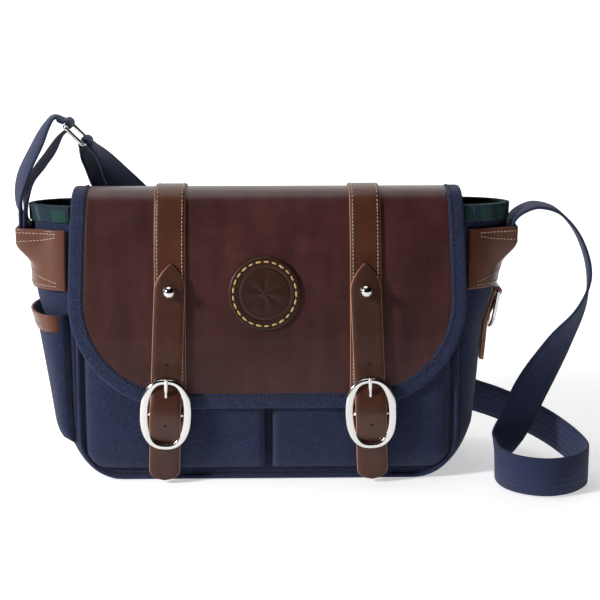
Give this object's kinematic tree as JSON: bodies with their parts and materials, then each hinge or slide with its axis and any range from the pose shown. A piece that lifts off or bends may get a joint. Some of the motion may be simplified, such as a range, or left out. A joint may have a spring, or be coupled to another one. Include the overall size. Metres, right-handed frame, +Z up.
{
  "type": "messenger bag",
  "caption": "Canvas messenger bag with a leather flap, buckled leather closure straps, open pockets, a swinging D-ring and an adjustable webbing shoulder strap.",
  "frame": {"origin": "centre of the bottom panel's underside, which rests on the ground", "axes": "+X to the right as the front is seen, +Y to the back, +Z up"},
  "size_m": [0.5815, 0.2233, 0.3466],
  "materials": {
    "canvas": "heavy navy cotton canvas, twill weave",
    "canvas_binding": "the same navy canvas folded as a binding and a turned seam",
    "lining_check": "dark green and navy checked cotton",
    "facing_check": "dark green and navy checked cotton",
    "board": "stiff fibre board",
    "flap_leather": "smooth dark brown bridle leather",
    "flap_lining": "thin navy cotton",
    "medallion_leather": "dark brown leather with embossed ring and thick yellow stitches",
    "strap_leather": "reddish brown leather strap with cream stitches",
    "closure_leather": "reddish brown leather",
    "patch_leather": "tan brown leather with cream stitches",
    "steel": "plain steel screw",
    "webbing": "navy cotton webbing",
    "nickel": "polished nickel plate"
  },
  "bodies": {
    "bag": {"front_panel": "canvas", "back_panel": "canvas", "front_piping": "canvas_binding", "back_piping": "canvas_binding", "bottom_panel": "canvas", "lining": "lining_check", "rim_facing": "facing_check", "base_board": "board", "inner_pocket": "lining_check", "side_pocket": "canvas", "side_pocket_trim": "patch_leather", "strap_ring": "nickel", "strap_anchor": "webbing", "shoulder_strap": "webbing", "ring_tab": "patch_leather", "flap_back_strip": "flap_leather", "left_gusset": "canvas", "left_gusset_patch": "patch_leather", "left_front_pocket": "canvas", "left_back_strap": "strap_leather", "left_buckle_patch": "closure_leather", "right_gusset": "canvas", "right_gusset_patch": "patch_leather", "right_front_pocket": "canvas", "right_back_strap": "strap_leather", "right_buckle_patch": "closure_leather"},
    "flap": {"flap_panel": "flap_leather", "flap_lining": "flap_lining", "flap_binding": "canvas_binding", "medallion": "medallion_leather", "left_flap_strap": "strap_leather", "left_closure_tip": "closure_leather", "left_stud": "nickel", "left_stud_screw": "steel", "right_flap_strap": "strap_leather", "right_closure_tip": "closure_leather", "right_stud": "nickel", "right_stud_screw": "steel"},
    "left_closure": {"left_closure_strap": "closure_leather", "left_buckle": "nickel", "left_chape": "closure_leather"},
    "left_prong": {"left_prong": "nickel"},
    "right_closure": {"right_closure_strap": "closure_leather", "right_buckle": "nickel", "right_chape": "closure_leather"},
    "right_prong": {"right_prong": "nickel"},
    "d_ring": {"d_ring": "nickel"},
    "slider": {"strap_slider": "nickel"}
  },
  "joints": [
    {"name": "flap_fold", "type": "hinge", "parent": "bag", "child": "flap", "pos_m": [0, 0.0299, 0.268], "axis": [-1, 0, 0], "range_deg": [0, 90]},
    {"name": "left_closure_lift", "type": "hinge", "parent": "flap", "child": "left_closure", "pos_m": [-0.09534, -0.06442, 0.17202], "axis": [-0.9991, 0, 0.0419], "range_deg": [0, 70]},
    {"name": "left_prong_rock", "type": "hinge", "parent": "left_closure", "child": "left_prong", "pos_m": [-0.09948, -0.07898, 0.0731], "axis": [0.9991, 0, -0.0419], "range_deg": [0, 3]},
    {"name": "right_closure_lift", "type": "hinge", "parent": "flap", "child": "right_closure", "pos_m": [0.09534, -0.06442, 0.17202], "axis": [-0.9991, 0, -0.0419], "range_deg": [0, 70]},
    {"name": "right_prong_rock", "type": "hinge", "parent": "right_closure", "child": "right_prong", "pos_m": [0.09948, -0.07898, 0.0731], "axis": [0.9991, 0, 0.0419], "range_deg": [0, 3]},
    {"name": "d_ring_swing", "type": "hinge", "parent": "bag", "child": "d_ring", "pos_m": [0.22973, 0, 0.179], "axis": [0, -1, 0], "range_deg": [0, 80]},
    {"name": "slider_slide", "type": "slide", "parent": "bag", "child": "slider", "axis": [-0.8944, 0, 0.4472], "range_m": [-0.02, 0.02]}
  ]
}
